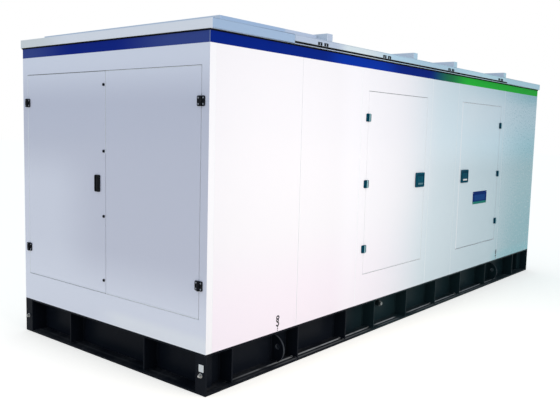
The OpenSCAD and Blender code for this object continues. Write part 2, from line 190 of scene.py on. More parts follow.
rubbed, inner, outer = new_group("rubbed_edge", {"Radius": 0.005, "Patch Scale": 14.0}, ["Edge"])
smooth = add_node(rubbed, "ShaderNodeBevel", {"Radius": inner["Radius"]}, samples=6).outputs["Normal"]
flat = add_node(rubbed, "ShaderNodeNewGeometry").outputs["Normal"]
agree = add_node(rubbed, "ShaderNodeVectorMath", {0: smooth, 1: flat}, operation="DOT_PRODUCT")
edge = between(rubbed, less(rubbed, 1.0, agree.outputs["Value"]), 0.01, 0.2)
edge = times(rubbed, edge, between(rubbed, noise(rubbed, inner["Patch Scale"], 4.0), 0.35, 0.6))
rubbed.links.new(edge, outer.inputs["Edge"])

LENGTH, WIDTH = 5.02, 1.84
end_x, side_y = LENGTH / 2, WIDTH / 2
SKID_DEEP, SKID_BLACK, SKID_COOL_LIGHT = (0.0045, 0.006, 0.009), (0.009, 0.0115, 0.017), (0.011, 0.025, 0.0285)
RUBBED_AND_RIM_HIGHLIGHT, FINE_DUST, PALE_DUST = (0.085, 0.094, 0.105), (0.16, 0.157, 0.15), (0.6, 0.6, 0.58)


def skid_coat(name, rim, wear):
    """Black skid paint with a painted cool light cast along the front side, and lines of dust on the lower
    flange.

    rim is how pale the rounds of a lug are painted, a painted highlight; wear how pale the other edges are
    rubbed."""
    material, tree, shader = new_material(name)
    at = own_place(tree)
    faces = own_facing(tree)
    coat = place_group(tree, sprayed, Peel_Scale=180.0, Roughness=0.36, Roughness_Spread=0.2)
    dust = place_group(tree, dusted, Reach=0.0005, Ledges=0.6)
    worn = place_group(tree, rubbed, Radius=0.005)
    black = mixed(tree, coat["Cloud"], SKID_DEEP, SKID_BLACK)
    # Painted cool light cast on the front side of the skid, from the middle to the far end.
    cool = times(tree, between(tree, at["X"], -1.2, -0.6), between(tree, at["Y"], -0.5, -0.75))
    black = mixed(tree, cool, black, SKID_COOL_LIGHT)
    # Painted highlight on the rounded rims of the lugs, mixed with the rubbed edges.
    around = between(tree, absolute(tree, faces["X"]), 0.5, 0.1)
    bare = math_node(tree, "MAXIMUM", times(tree, worn["Edge"], wear), times(tree, around, rim))
    black = mixed(tree, bare, black, RUBBED_AND_RIM_HIGHLIGHT)
    black = mixed(tree, times(tree, dust["Dust"], 0.4), black, FINE_DUST)
    inset_x = less(tree, end_x, absolute(tree, at["X"]))
    inset_y = less(tree, side_y, absolute(tree, at["Y"]))
    inset = math_node(tree, "MINIMUM", inset_x, inset_y)
    line = window(tree, inset, 0.042, 0.048, 0.058, 0.064)
    rim_line = window(tree, inset, 0.006, 0.012, 0.02, 0.03)
    drift = math_node(tree, "MAXIMUM", line, times(tree, rim_line, 0.25))
    drift = times(tree, drift, window(tree, at["X"], -2.6, -1.4, 1.0, 2.2))
    flange = times(tree, between(tree, faces["Z"], 0.4, 0.9), between(tree, at["Z"], 0.03, 0.02))
    drift = times(tree, drift, flange)
    drift = times(tree, drift, between(tree, noise(tree, 2.4, 3.0), 0.38, 0.5))
    black = mixed(tree, times(tree, drift, 0.9), black, PALE_DUST)
    tree.links.new(black, shader.inputs["Base Color"])
    shader.inputs["Specular IOR Level"].default_value = 0.03
    rough = math_node(tree, "ADD", coat["Roughness"], times(tree, dust["Dust"], 0.4))
    tree.links.new(rough, shader.inputs["Roughness"])
    bumped(tree, shader, coat["Peel"], 0.12, 0.001)
    return material


skid_paint = skid_coat("skid_black_paint", 0.0, 0.06)
gusset_paint = skid_coat("gusset_black_paint", 0.0, 0.03)
lug_paint = skid_coat("lug_rubbed_paint_lit_rim", 0.5, 0.06)
MERGE, SHARP = 0.00005, math.radians(40)


def soften(names, material, width=0.0, segments=2):
    """Gives solid nodes their material and, where a width is given, a bevel on their sharp edges."""
    for name in names:
        part = parts[name]
        part.data.materials.clear()
        part.data.materials.append(material)
        if width:
            part.modifiers.new("weld", "WELD").merge_threshold = MERGE
            bevel = part.modifiers.new("edge", "BEVEL")
            bevel.width = width
            bevel.segments = segments
            bevel.limit_method = "ANGLE"
            bevel.angle_limit = SHARP
            bevel.harden_normals = True


soften(["base_side_rails", "base_end_rails", "base_corners", "base_cross_members"], skid_paint, width=0.002)
soften(["base_gussets"], gusset_paint, width=0.0012)
soften(["lifting_lugs"], lug_paint, width=0.0012)


def add_piece(name, made, body, material, smooth=True):
    """A mesh object from (vertices, faces), riding on a body."""
    vertices, faces = made
    mesh = bpy.data.meshes.new(name)
    mesh.from_pydata(vertices.tolist(), [], faces)
    mesh.validate()
    mesh.materials.append(material)
    if smooth:
        mesh.shade_smooth()
    else:
        mesh.shade_flat()
    piece = bpy.data.objects.new(name, mesh)
    bpy.context.scene.collection.objects.link(piece)
    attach(piece, body)
    return piece


def gathered(shapes):
    """Several (vertices, faces) pairs as one, with the face numbers moved along."""
    starts = np.cumsum([0] + [len(v) for v, f in shapes[:-1]])
    faces = [[i + s for i in face] for s, (v, f) in zip(starts.tolist(), shapes) for face in f]
    return np.concatenate([v for v, f in shapes]), faces


def carried(profile, path, across, up, scale=None, closed=False):
    """A closed profile (u, v) carried along a path: point = path + scale * (u * across + v * up).

    The profile runs anticlockwise seen against the direction of travel, so faces look outwards."""
    profile, path = np.asarray(profile, float), np.asarray(path, float)
    count, sides = len(path), len(profile)
    across = np.broadcast_to(np.asarray(across, float), (count, 3))
    up = np.broadcast_to(np.asarray(up, float), (count, 3))
    scale = np.ones(count) if scale is None else np.asarray(scale, float)
    grid = path[:, None] + scale[:, None, None] * (
        profile[None, :, :1] * across[:, None] + profile[None, :, 1:] * up[:, None])
    rows = np.arange(count if closed else count - 1)[:, None]
    cols = np.arange(sides)[None]
    after = (rows + 1) % count
    turn = (cols + 1) % sides
    quads = np.stack([rows * sides + cols, rows * sides + turn,
                      after * sides + turn, after * sides + cols], -1)
    faces = quads.reshape(-1, 4).tolist()
    if not closed:
        faces.append(list(range(sides))[::-1])
        faces.append(list(range((count - 1) * sides, count * sides)))
    return grid.reshape(-1, 3), faces


WELD_LEG, WELD_ROOT, WELD_STEP = 0.006, 0.15, 0.008
RIPPLE_LONG, RIPPLE_DEEP, END_DROP, END_POWER = 0.0042, 0.16, 0.4, 30


def weld_bead(start, end, wall_a, wall_b, leg=WELD_LEG):
    """A fillet weld in a corner: a bulged quarter round carried from start to end, rippled on the way.

    wall_a and wall_b point away from the corner along the two plates."""
    start, end = np.asarray(start, float), np.asarray(end, float)
    length = np.linalg.norm(end - start)
    t = np.linspace(0, 1, max(6, int(length / WELD_STEP)))
    ripple = 1 + RIPPLE_DEEP * np.sin(t * length / RIPPLE_LONG)
    taper = 1 - END_DROP * np.abs(2 * t - 1) ** END_POWER
    a = np.linspace(0, np.pi / 2, 4)
    profile = np.concatenate([[[-WELD_ROOT, -WELD_ROOT]], np.stack([np.cos(a), np.sin(a)], -1)])
    if np.dot(np.cross(wall_a, wall_b), end - start) < 0:
        profile = profile[::-1]
    return carried(profile, start + t[:, None] * (end - start), wall_a, wall_b, leg * ripple * taper)


SKID_HIGH, WEB_IN, FLANGE = 0.24, 0.112, 0.012
GUSSET_HALF, GUSSET_BACK, END_GUSSET = 0.005, 0.01, 0.382
LUG_HALF, LUG_TOP, LUG_FOOT, LUG_WELD = 0.007, 0.183, 0.058, 0.008
gusset_x = LENGTH * np.array([0.045, 0.1683, 0.2781, 0.3548, 0.4532, 0.5558, 0.6554, 0.77, 0.9163]) - end_x
lug_x = LENGTH * np.array([0.1394, 0.832]) - end_x
web_top = SKID_HIGH - FLANGE
beads = []
for side in (-1, 1):
    web, rim, foot = (side * (side_y - inset) for inset in (WEB_IN, GUSSET_BACK, LUG_FOOT))
    for face in (-1, 1):
        away = (face, 0, 0)
        for x in gusset_x + face * GUSSET_HALF:
            beads.append(weld_bead((x, web, FLANGE), (x, web, web_top), away, (0, side, 0)))
            beads.append(weld_bead((x, web, FLANGE), (x, rim, FLANGE), away, (0, 0, 1)))
            beads.append(weld_bead((x, web, web_top), (x, rim, web_top), away, (0, 0, -1)))
        for x in lug_x + face * LUG_HALF:
            beads.append(weld_bead((x, web, FLANGE), (x, web, LUG_TOP), away, (0, side, 0), LUG_WELD))
            beads.append(weld_bead((x, web, FLANGE), (x, foot, FLANGE), away, (0, 0, 1), LUG_WELD))
for side in (-1, 1):
    web, rim = (side * (end_x - inset) for inset in (WEB_IN, GUSSET_BACK))
    for y in (-END_GUSSET, END_GUSSET):
        for face in (-1, 1):
            edge = y + face * GUSSET_HALF
            beads.append(weld_bead((web, edge, FLANGE), (web, edge, web_top), (0, face, 0), (side, 0, 0)))
            beads.append(weld_bead((web, edge, FLANGE), (rim, edge, FLANGE), (0, face, 0), (0, 0, 1)))
add_piece("skid_welds", gathered(beads), "enclosure", skid_paint)


# Floor plate and drain outlet: steel chequer plate on the skid, and a plugged pipe stub welded to the
# channel web on the photographed side.
def sprayed_on(tree, shader, peel, cloud, rough, spread):
    """The outputs of a sprayed coat whose broken gloss is linked to the shader."""
    coat = place_group(tree, sprayed, Peel_Scale=peel, Cloud_Scale=cloud, Roughness=rough,
                       Roughness_Spread=spread)
    tree.links.new(coat["Roughness"], shader.inputs["Roughness"])
    return coat


def coated(name, dark, pale, **coat_sizes):
    """A sprayed finish clouded between two colours, with the tree, shader and coat it is made of."""
    material, tree, shader = new_material(name)
    coat = sprayed_on(tree, shader, **coat_sizes)
    tree.links.new(mixed(tree, coat["Cloud"], dark, pale), shader.inputs["Base Color"])
    return material, tree, shader, coat


floor_metal, tree, shader, coat = coated("floor_plate_steel", (0.03, 0.03, 0.032), (0.075, 0.075, 0.078),
                                         peel=90.0, cloud=2.2, rough=0.5, spread=0.3)
weave = add_node(tree, "ShaderNodeTexChecker", {"Vector": own_point(tree), "Scale": 22.0,
                                                "Color1": (1, 1, 1, 1), "Color2": (0, 0, 0, 1)})
lift = math_node(tree, "ADD", times(tree, weave.outputs["Fac"], 0.6), coat["Peel"])
bumped(tree, shader, lift, 0.3, 0.002)
soften(["base_floor"], floor_metal)

drain_coat, tree, shader = new_material("drain_paint_and_plug")
sprayed_on(tree, shader, peel=300.0, cloud=20.0, rough=0.3, spread=0.1)
STUB_OUT, PLUG_FROM, PLUG_FULL = 0.034, 0.0003, 0.0008
DRAIN_BLACK, PLUG_METAL = (0.008, 0.016, 0.017), (0.2, 0.22, 0.22)
stub_front = -side_y + WEB_IN - STUB_OUT
plug = between(tree, own_place(tree)["Y"], stub_front - PLUG_FROM, stub_front - PLUG_FULL)
tree.links.new(mixed(tree, plug, DRAIN_BLACK, PLUG_METAL), shader.inputs["Base Color"])
tree.links.new(plug, shader.inputs["Metallic"])
soften(["drain_outlet"], drain_coat, width=0.0015)

# Earth studs: a zinc plated stud with a washer and a hex nut through each corner plate, and a bare
# enamelled plate glued on above the near one.
plated, tree, shader, coat = coated("zinc_plated_steel", (0.36, 0.36, 0.35), (0.6, 0.59, 0.56),
                                    peel=700.0, cloud=30.0, rough=0.34, spread=0.25)
shader.inputs["Metallic"].default_value = 1.0
bumped(tree, shader, coat["Peel"], 0.1, 0.0004)


def turned(profile, centre, axis, around=24, flats=0):
    """A profile of (radius, height) turned about an axis: point = centre + r * (cos, sin) + h * axis.

    The profile starts and ends at radius 0, as poles. The first rings, as many as flats, are hexagons."""
    profile = np.asarray(profile, float)
    axis = np.asarray(axis, float)
    first = np.cross(axis, [0.31, 0.52, 0.79])
    first = first / np.linalg.norm(first)
    second = np.cross(axis, first)
    angle = np.linspace(0, 2 * np.pi, around, endpoint=False)
    hexagon = np.cos(np.pi / 6) / np.cos((angle + np.pi / 6) % (np.pi / 3) - np.pi / 6)
    rings = profile[1:-1]
    shape = np.where(np.arange(len(rings))[:, None] < flats, hexagon[None], 1.0)
    radius = rings[:, :1] * shape
    spokes = np.cos(angle)[:, None] * first + np.sin(angle)[:, None] * second
    grid = radius[..., None] * spokes + rings[:, 1, None, None] * axis
    poles = np.stack([profile[0, 1] * axis, profile[-1, 1] * axis])
    vertices = np.concatenate([grid.reshape(-1, 3), poles]) + np.asarray(centre, float)
    rows = np.arange(len(rings) - 1)[:, None] * around
    cols = np.arange(around)[None]
    turn = (cols + 1) % around
    quads = np.stack([rows + cols, rows + turn, rows + around + turn, rows + around + cols], -1)
    low_pole, high_pole = len(vertices) - 2, len(vertices) - 1
    last = (len(rings) - 1) * around
    cols, turn = cols[0], turn[0]
    fan_low = np.stack([np.full(around, low_pole), turn, cols], -1)
    fan_high = np.stack([np.full(around, high_pole), last + cols, last + turn], -1)
    return vertices, quads.reshape(-1, 4).tolist() + fan_low.tolist() + fan_high.tolist()


STUD_Z, STUD_IN, NUT_OUT = 0.114, 0.037, 0.002
HEX_NUT = [(0, 0), (0.0105, 0.0), (0.0105, 0.0085), (0.0095, 0.0098), (0.0062, 0.0099), (0.0062, 0.016),
           (0.005, 0.0172), (0, 0.0172)]
WASHER = [(0, 0), (0.0135, 0), (0.0135, 0.0018), (0.0128, 0.0022), (0, 0.0022)]
studs = []
for end in (-1, 1):
    for side in (-1, 1):
        at = np.array([end * end_x, side * (side_y - STUD_IN), STUD_Z])
        studs.append(turned(WASHER, at, (end, 0, 0)))
        studs.append(turned(HEX_NUT, at + [end * NUT_OUT, 0, 0], (end, 0, 0), flats=2))
add_piece("earth_studs", gathered(studs), "enclosure", plated, smooth=False)


def rounded_outline(wide, high, radius, steps=6):
    """Outline of a rectangle with rounded corners, centred, anticlockwise, as (u, v) points."""
    a = np.linspace(0, np.pi / 2, steps)
    corner = np.stack([np.cos(a), np.sin(a)], -1) * radius
    out = []
    for turns, (sx, sy) in enumerate(((1, 1), (-1, 1), (-1, -1), (1, -1))):
        c, s = round(math.cos(turns * math.pi / 2)), round(math.sin(turns * math.pi / 2))
        middle = [sx * (wide / 2 - radius), sy * (high / 2 - radius)]
        out.append(corner @ np.array([[c, s], [-s, c]]) + middle)
    return np.concatenate(out)


def face_plate(outline, centre, across, up, thick, edge=0.0006):
    """A flat plate on a wall: its outline carried outwards from the wall, with a small edge round."""
    across, up = np.asarray(across, float), np.asarray(up, float)
    out = np.cross(across, up)
    depth = np.array([0, thick - edge, thick - edge * 0.3, thick])
    reach = 1 - np.array([0, 0, 0.6, 2.0]) * edge / np.ptp(outline[:, 1])
    path = np.asarray(centre, float) + depth[:, None] * out
    return carried(outline, path, across, up, reach)


blank_white, tree, shader, coat = coated("blank_plate_enamel", (0.72, 0.73, 0.7), (0.82, 0.83, 0.8),
                                         peel=500.0, cloud=40.0, rough=0.35, spread=0.1)
BLANK_W, BLANK_H, BLANK_ROUND, BLANK_T = 0.038, 0.042, 0.004, 0.0012
BLANK_IN, BLANK_Z = 0.034, 0.156
blank = face_plate(rounded_outline(BLANK_W, BLANK_H, BLANK_ROUND), (-end_x, -side_y + BLANK_IN, BLANK_Z),
                   (0, -1, 0), (0, 0, 1), BLANK_T)
add_piece("corner_blank_plate", blank, "enclosure", blank_white, smooth=False)

# Walls: folded steel panels, posts and door frames in gloss white, with light and shade painted into the
# white. The long front side is painted warm at the near end and fades to a painted cool light cast; the
# near end is painted with shade in the middle, lighter at foot and head.
# Each tone below is a place, as ranges in the frame, and a share of the way to its colour.
SIDE_GAP, DOOR_1_OPEN, DOOR_2_OPEN, OPEN_Z, OPEN_H = 0.0035, 1.575, 3.125, 0.456, 1.32
WARM_LIGHT, PINK_BOUNCE_LIGHT, CORNER_HIGHLIGHT = (0.9, 0.868, 0.878), (0.925, 0.83, 0.885), (0.92, 0.9, 0.905)
COOL_LIGHT, COOLER_LIGHT, FAR_COOL_LIGHT = (0.71, 0.81, 0.835), (0.62, 0.765, 0.79), (0.27, 0.545, 0.57)
FAR_FOOT_COOL_LIGHT, FAR_SHEEN, FOOT_COOL_LIGHT = (0.14, 0.49, 0.535), (0.95, 0.98, 0.98), (0.0, 0.62, 0.66)
CREST_HIGHLIGHT, GRIT, SPECK, LIT_HEM = (0.99, 0.96, 0.98), (0.7, 0.84, 0.86), (0.1, 0.4, 0.44), (0.97, 0.98, 0.98)
LIGHT, END_SHADE, END_FOOT_LIGHT = (0.87, 0.875, 0.95), (0.665, 0.665, 0.755), (0.96, 0.96, 0.985)
PLAIN, FAR_END_COOL_LIGHT, CLOUD, DUST = (0.855, 0.862, 0.88), (0.6, 0.76, 0.785), (0.7, 0.74, 0.78), (0.5, 0.47, 0.42)
white_paint, tree, shader = new_material("wall_white_gloss")
at = own_place(tree)
faces = own_facing(tree)
coat = sprayed_on(tree, shader, peel=260.0, cloud=1.4, rough=0.22, spread=0.1)
dust = place_group(tree, dusted, Reach=0.5, Grain_Scale=90.0, Ledges=0.0)

# The long side: painted light, warm to cool along its length and pinker at the foot, painted highlights and
# painted bands of sheen, and grit and specks at the far end.
# Painted light: warm near the key lamp, pinker towards the foot as painted bounce light from the floor.
long_side = mixed(tree, between(tree, at["Z"], 0.95, 0.35), WARM_LIGHT, PINK_BOUNCE_LIGHT)
# Painted highlight on the near corner.
long_side = mixed(tree, between(tree, at["X"], -end_x + 0.05, -end_x + 0.045), long_side, CORNER_HIGHLIGHT)
# Painted cool light cast, fading in along the length, strongest at the far end and at its foot.
late = times(tree, between(tree, at["Z"], 0.5, 1.2), 0.25)
long_side = mixed(tree, between(tree, less(tree, at["X"], late), -0.85, 0.1), long_side, COOL_LIGHT)
long_side = mixed(tree, between(tree, at["X"], 0.3, 1.3), long_side, COOLER_LIGHT)
long_side = mixed(tree, between(tree, at["X"], 1.2, 2.45), long_side, FAR_COOL_LIGHT)
far_foot = times(tree, between(tree, at["X"], 1.3, 2.6), between(tree, at["Z"], 1.2, 0.4))
long_side = mixed(tree, far_foot, long_side, FAR_FOOT_COOL_LIGHT)
# Painted sheen: a band across the upper wall made brighter.
sheen = times(tree, window(tree, at["Z"], 1.12, 1.45, 1.5, 2.2), between(tree, at["X"], -1.0, 2.2))
brighter = math_node(tree, "ADD", times(tree, sheen, 0.34), 1.0)
long_side = add_node(tree, "ShaderNodeVectorMath", {0: long_side, "Scale": brighter},
                     operation="SCALE").outputs["Vector"]
# Painted sheen nearer the top of the far half, mixed towards a pale tone.
far_sheen = times(tree, window(tree, at["Z"], 1.3, 1.7, 1.76, 1.92), between(tree, at["X"], 0.4, 0.9))
long_side = mixed(tree, times(tree, far_sheen, 0.48), long_side, FAR_SHEEN)
# Painted cool light in a low band at the foot of the far panels.
foot_cool_light = times(tree, between(tree, at["Z"], 0.36, 0.28), between(tree, at["X"], 1.4, 1.55))
long_side = mixed(tree, times(tree, foot_cool_light, 0.25), long_side, FOOT_COOL_LIGHT)
# Painted highlight: a paler patch before the middle of the wall.
crest_highlight = window(tree, at["X"], -1.35, -1.1, -0.6, 0.2)
long_side = mixed(tree, times(tree, crest_highlight, 0.4), long_side, CREST_HIGHLIGHT)
grit = times(tree, between(tree, noise(tree, 38.0, 3.0), 0.52, 0.75), between(tree, at["X"], 0.9, 2.2))
long_side = mixed(tree, times(tree, grit, 0.4), long_side, GRIT)
LAST_JOINT = 4.105
last_x = LAST_JOINT - end_x
specks = times(tree, between(tree, noise(tree, 62.0, 4.0), 0.5, 0.32),
               between(tree, at["X"], last_x, last_x + 0.003))
specks = times(tree, specks, between(tree, at["X"], 0.8, 2.4))
long_side = mixed(tree, times(tree, specks, 0.62), long_side, SPECK)
# Painted highlight along the closing edge of the second door.
HEM, HEM_FADE = 0.016, 0.002
hem_x, hem_top = DOOR_2_OPEN + SIDE_GAP / 2 - end_x, OPEN_Z + OPEN_H
hem_highlight = times(tree, window(tree, at["X"], hem_x, hem_x + HEM_FADE, hem_x + HEM, hem_x + HEM + HEM_FADE),
            window(tree, at["Z"], OPEN_Z, OPEN_Z + HEM_FADE, hem_top - HEM_FADE, hem_top))
long_side = mixed(tree, times(tree, hem_highlight, 0.7), long_side, LIT_HEM)

# The near end: painted shade in the middle, less of it at the lower left, and painted light at the right of
# its foot.
left_low = times(tree, between(tree, at["Y"], 0.0, 0.6), between(tree, at["Z"], 1.4, 1.05))
shade_share = less(tree, 1.0, times(tree, left_low, 0.65))
shade_band = times(tree, window(tree, at["Z"], 0.36, 0.75, 1.6, 1.9), shade_share)
near_end = mixed(tree, shade_band, LIGHT, END_SHADE)
lit_right_foot = times(tree, between(tree, at["Z"], 0.36, 0.29), between(tree, at["Y"], 0.1, -0.2))
near_end = mixed(tree, lit_right_foot, near_end, END_FOOT_LIGHT)

# Only the outer faces take these painted tones, and the far end a painted cool light cast that fades
# towards its back corner; the rest is plain white.
far_end = times(tree, between(tree, faces["X"], 0.3, 0.8), between(tree, at["X"], 2.45, 2.49))
white = mixed(tree, times(tree, far_end, between(tree, at["Y"], 0.5, -0.9)), PLAIN, FAR_END_COOL_LIGHT)
end = times(tree, between(tree, faces["X"], -0.3, -0.8), between(tree, at["X"], -2.45, -2.49))
white = mixed(tree, end, white, near_end)
front = times(tree, between(tree, faces["Y"], -0.3, -0.8), between(tree, at["Y"], -0.86, -0.9))
white = mixed(tree, front, white, long_side)
white = mixed(tree, times(tree, coat["Cloud"], 0.05), white, CLOUD)
white = mixed(tree, times(tree, dust["Dust"], 0.05), white, DUST)
tree.links.new(white, shader.inputs["Base Color"])
shader.inputs["Coat Weight"].default_value = 0.25
shader.inputs["Coat Roughness"].default_value = 0.12
bumped(tree, shader, coat["Peel"], 0.05, 0.0006)
soften(["front_panel_1", "front_panel_2", "front_panel_3", "front_panel_4", "back_panels"],
       white_paint, width=0.0008)
soften(["front_jambs", "front_rails", "back_jambs", "back_rails", "near_posts", "near_rails", "far_posts",
        "far_rails"], white_paint)

# Joint sealant: a bead of white sealant pressed into the upright joints of the long walls, nearly flush.
# The second joint has less of it, and a low bead is smeared over the joints beside the doors.
sealant_white, tree, shader, coat = coated("sealant_white", (0.88, 0.9, 0.9), (0.93, 0.95, 0.95),
                                           peel=500.0, cloud=25.0, rough=0.55, spread=0.15)
bumped(tree, shader, coat["Peel"], 0.1, 0.0004)
JOINTS = {0.0455: (0.001, 0.0003), 0.805: (0.003, 0.002), 1.485: (0.003, 0.0004), 2.55: (0.003, 0.0006),
          3.04: (0.003, 0.0006), LAST_JOINT: (0.003, 0.0004), 4.9745: (0.001, 0.0003)}
SMEARS = {2.55: 0.0045, 3.04: 0.004, LAST_JOINT: 0.005}
BEAD_CLEAR, BEAD_DEEP, SMEAR_PROUD, SMEAR_SUNK = 0.0001, 0.006, 0.0008, 0.0002
arch = np.linspace(0, np.pi, 7)
wall_low, wall_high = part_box("front_panel_1")
joint_beads = []
for side in (-1, 1):
    for s, (gap, recess) in JOINTS.items():
        half = gap / 2 - BEAD_CLEAR
        deep = -recess - BEAD_DEEP
        profile = [[-half, deep], [half, deep], [half, -recess], [-half, -recess]]
        path = [(s - end_x, side * side_y, z) for z in (wall_low[2], wall_high[2])]
        joint_beads.append(carried(profile, path, (side, 0, 0), (0, side, 0)))
        if s in SMEARS:
            dome = np.stack([SMEARS[s] / 2 * np.cos(arch), SMEAR_PROUD * np.sin(arch) - SMEAR_SUNK], -1)
            joint_beads.append(carried(dome, path, (side, 0, 0), (0, side, 0)))
add_piece("joint_sealant", gathered(joint_beads), "enclosure", sealant_white, smooth=False)

# Door leaves: pans of the same sheet and paint, set flush in their frames.
soften(["front_door_1", "front_door_2", "end_door_left", "end_door_right", "back_doors", "far_doors"],
       white_paint)

# Edge strips: flat white rubber glued into the door gaps, on the upper and lower edges of each leaf that
# opens, the closing edges of the side doors, the upper part of the meeting edge and the left end post.
GAP, OPEN_W, POST_W, END_Z, END_H = 0.005, 0.89, 0.058, 0.427, 1.389
MEETING_OFF, MEETING_GAP, MEETING_FROM, MEETING_CLEAR = 0.02, 0.004, 1.31, 0.0022
STRIP_LAP, STRIP_CLEAR, STRIP_DEEP = 0.0003, 0.0007, 0.012
FRONT_OUT, END_OUT = (0, -1, 0), (-1, 0, 0)


def edge_strip(start, end, across, out, reach):
    """A strip from start to end of an edge: a flat profile that reaches across the gap beside it."""
    profile = [[-STRIP_LAP, -STRIP_DEEP], [reach, -STRIP_DEEP],
               [reach, -STRIP_LAP], [-STRIP_LAP, -STRIP_LAP]]
    ahead = np.dot(np.cross(across, out), np.subtract(end, start)) > 0
    return carried(profile, [start, end] if ahead else [end, start], across, out)


def upright_strip(foot, low, high, across, out, reach):
    """A strip up an edge that stands at foot (x, y)."""
    return edge_strip((*foot, low), (*foot, high), across, out, reach)


def level_strips(left, right, low, high, out, above, below):
    """Strips on the upper and the lower edge of a leaf that stands between left and right (x, y)."""
    return [edge_strip((*left, high), (*right, high), (0, 0, 1), out, above),
            edge_strip((*left, low), (*right, low), (0, 0, -1), out, below)]


side_leaf_z, side_leaf_h = OPEN_Z + GAP, OPEN_H - 2 * GAP
end_leaf_z, end_leaf_h = END_Z + GAP, END_H - 2 * GAP
side_leaf_top, end_leaf_top = side_leaf_z + side_leaf_h, end_leaf_z + end_leaf_h
SIDE_LEAVES = {"front_door_1": (DOOR_1_OPEN, 1, 0.0018, 0.0018),
               "front_door_2": (DOOR_2_OPEN, -1, 0.0028, 0.0004)}
for door, (opening, closing, above, below) in SIDE_LEAVES.items():
    left, right = ((s - end_x, -side_y) for s in (opening + SIDE_GAP, opening + OPEN_W - SIDE_GAP))
    strips = level_strips(left, right, side_leaf_z, side_leaf_top, FRONT_OUT, above, below)
    strips.append(upright_strip(right if closing > 0 else left, side_leaf_z, side_leaf_top,
                                (closing, 0, 0), FRONT_OUT, SIDE_GAP - STRIP_CLEAR))
    add_piece(door + "_edge_strip", gathered(strips), door + "_body", sealant_white,
              smooth=False)
END_LEAVES = {"end_door_left": (side_y - POST_W - GAP, MEETING_GAP / 2 - MEETING_OFF, 0.001, 0.0018),
              "end_door_right": (-MEETING_OFF - MEETING_GAP / 2, POST_W + GAP - side_y, 0.0023, 0.0032)}
for door, (left_y, right_y, above, below) in END_LEAVES.items():
    left, right = (-end_x, left_y), (-end_x, right_y)
    strips = level_strips(left, right, end_leaf_z, end_leaf_top, END_OUT, above, below)
    if door == "end_door_left":
        strips.append(upright_strip(right, MEETING_FROM, end_leaf_top, (0, -1, 0), END_OUT,
                                    MEETING_GAP - MEETING_CLEAR))
    add_piece(door + "_edge_strip", gathered(strips), door + "_body", sealant_white,
              smooth=False)
post_strip = upright_strip((-end_x, side_y - POST_W), end_leaf_z, end_leaf_top, (0, -1, 0), END_OUT,
                           GAP - STRIP_CLEAR)
add_piece("end_post_edge_strip", post_strip, "enclosure", sealant_white, smooth=False)

# Frame behind the walls: galvanised posts behind the seams, stops behind the leaves and the post that
# takes the end locks.
ZINC_DARK, ZINC_PALE = (0.42, 0.43, 0.44), (0.62, 0.63, 0.64)
galvanised, tree, shader = new_material("frame_galvanised")
spangle = add_node(tree, "ShaderNodeTexVoronoi", {"Vector": own_point(tree), "Scale": 70.0})
sprayed_on(tree, shader, peel=400.0, cloud=9.0, rough=0.42, spread=0.25)
shader.inputs["Metallic"].default_value = 0.85
zinc = mixed(tree, spangle.outputs["Distance"], ZINC_DARK, ZINC_PALE)
tree.links.new(zinc, shader.inputs["Base Color"])
soften(["wall_posts", "door_stops", "centre_posts"], galvanised, width=0.0015)

# Door seals: hollow black rubber strip stuck to the stops all round each opening leaf, squeezed by it.
rubber, tree, shader, coat = coated("seal_rubber", (0.003, 0.003, 0.004), (0.008, 0.008, 0.009),
                                    peel=900.0, cloud=25.0, rough=0.7, spread=0.2)
shader.inputs["Specular IOR Level"].default_value = 0.02
bumped(tree, shader, coat["Peel"], 0.2, 0.0005)
PANEL, STOP_REACH = 0.045, 0.019
SEAL_HALF, SEAL_HIGH, SEAL_TURN = 0.007, 0.0052, 0.03


def strip_on_wall(flat_path, centre, across, profile, closed=True):
    """A profile carried along a path drawn on a wall, as (across, up) points; it stands out from it."""
    across, up = np.asarray(across, float), np.array([0, 0, 1.0])
    out = np.cross(across, up)
    path = np.asarray(centre, float) + flat_path[:, :1] * across + flat_path[:, 1:] * up
    ahead = np.roll(path, -1, 0) - np.roll(path, 1, 0) if closed else np.gradient(path, axis=0)
    ahead /= np.linalg.norm(ahead, axis=1)[:, None]
    return carried(profile, path, np.cross(out, ahead), out, closed=closed)


half_turn = np.linspace(0, np.pi, 9)
seal_profile = np.stack([SEAL_HALF * np.cos(half_turn), SEAL_HIGH * np.sin(half_turn)], -1)


def seal_loop(centre, wide, high, across):
    """A D-shaped strip round an opening: flat on the stops, domed to the leaf."""
    loop = rounded_outline(wide - 2 * STOP_REACH, high - 2 * STOP_REACH, SEAL_TURN, 8)
    return strip_on_wall(loop, centre, across, seal_profile)


seals = []
for start in (DOOR_1_OPEN, DOOR_2_OPEN):
    middle = (start + OPEN_W / 2 - end_x, -side_y + PANEL, OPEN_Z + OPEN_H / 2)
    seals.append(seal_loop(middle, OPEN_W, OPEN_H, (1, 0, 0)))
for post in (side_y - POST_W, -side_y + POST_W):
    middle = (-end_x + PANEL, (post - MEETING_OFF) / 2, END_Z + END_H / 2)
    seals.append(seal_loop(middle, abs(post + MEETING_OFF), END_H, (0, -1, 0)))
add_piece("door_seals", gathered(seals), "enclosure", rubber)

# Hinges and latches: powder coated steel plates with three knuckles, each plate held by two countersunk
# screws, and paddle latches with a key cylinder. They are black; on the front side a painted cool light
# cast makes them teal, with painted highlights on the knuckles and lips.
COAT_DEEP, COAT_BLACK = (0.004, 0.0047, 0.0065), (0.009, 0.0105, 0.0135)
TEAL_CAST_DEEP, TEAL_CAST, TEAL_HIGHLIGHT = (0.002, 0.05, 0.085), (0.003, 0.078, 0.12), (0.45, 0.72, 0.74)
fitting_black, tree, shader = new_material("fitting_black_coat")
at = own_place(tree)
coat = sprayed_on(tree, shader, peel=900.0, cloud=18.0, rough=0.4, spread=0.2)
black = mixed(tree, coat["Cloud"], COAT_DEEP, COAT_BLACK)
